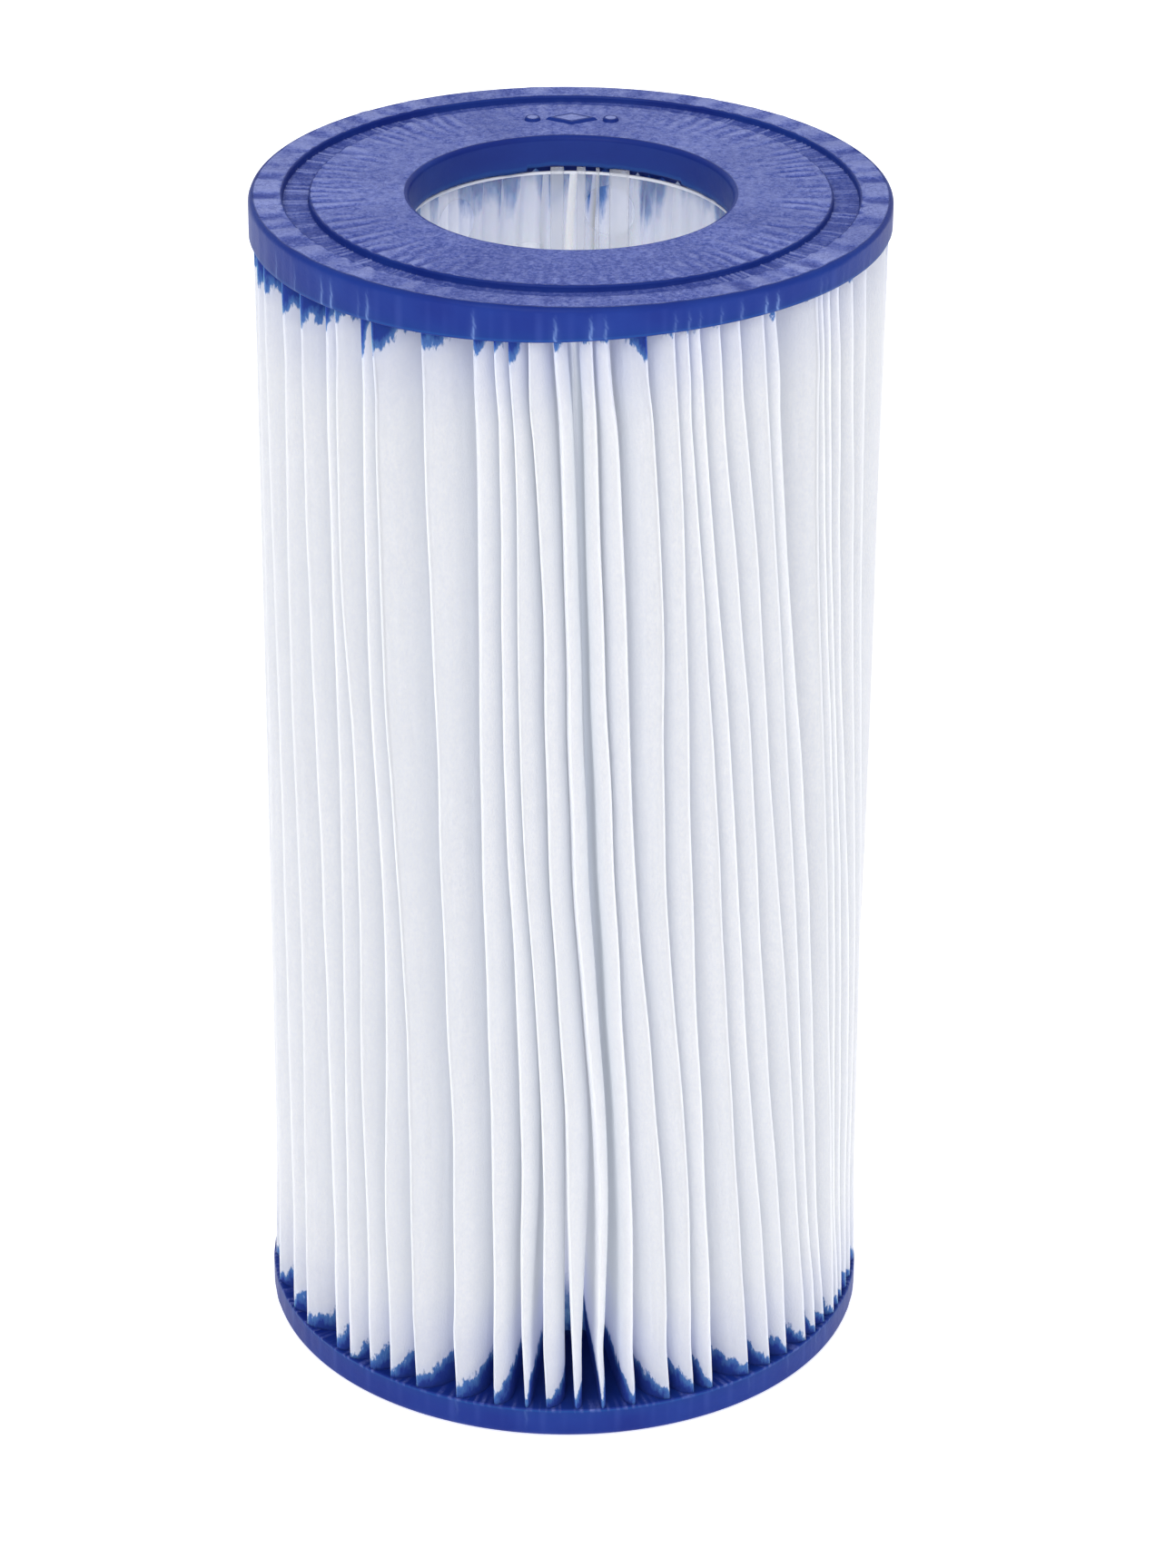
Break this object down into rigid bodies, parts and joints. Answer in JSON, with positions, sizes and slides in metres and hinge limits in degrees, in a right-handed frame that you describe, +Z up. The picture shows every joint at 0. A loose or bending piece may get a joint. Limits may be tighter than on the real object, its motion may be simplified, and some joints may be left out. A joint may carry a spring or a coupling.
{
  "type": "pool filter cartridge",
  "caption": "Pleated filter cartridge with soft round end caps, a sealing groove in each face and an open perforated core.",
  "frame": {"origin": "centre of the bottom cap's face, on the cartridge's axis", "axes": "+Z up along the cartridge's axis; +Y towards the raised mark on the top cap and the sheet's side seam; -Y is the front"},
  "size_m": [0.105, 0.105, 0.2085],
  "materials": {
    "cap_plastisol": "matte with a faint leathery grain",
    "nonwoven_media": "matte non-woven polyester",
    "seam_adhesive": "waxy translucent hot-melt glue",
    "core_plastic": "milky translucent"
  },
  "bodies": {
    "root": {"bottom_end_cap": "cap_plastisol", "top_end_cap": "cap_plastisol", "pleated_media": "nonwoven_media", "media_side_seam": "seam_adhesive", "core_tube": "core_plastic"}
  },
  "joints": []
}
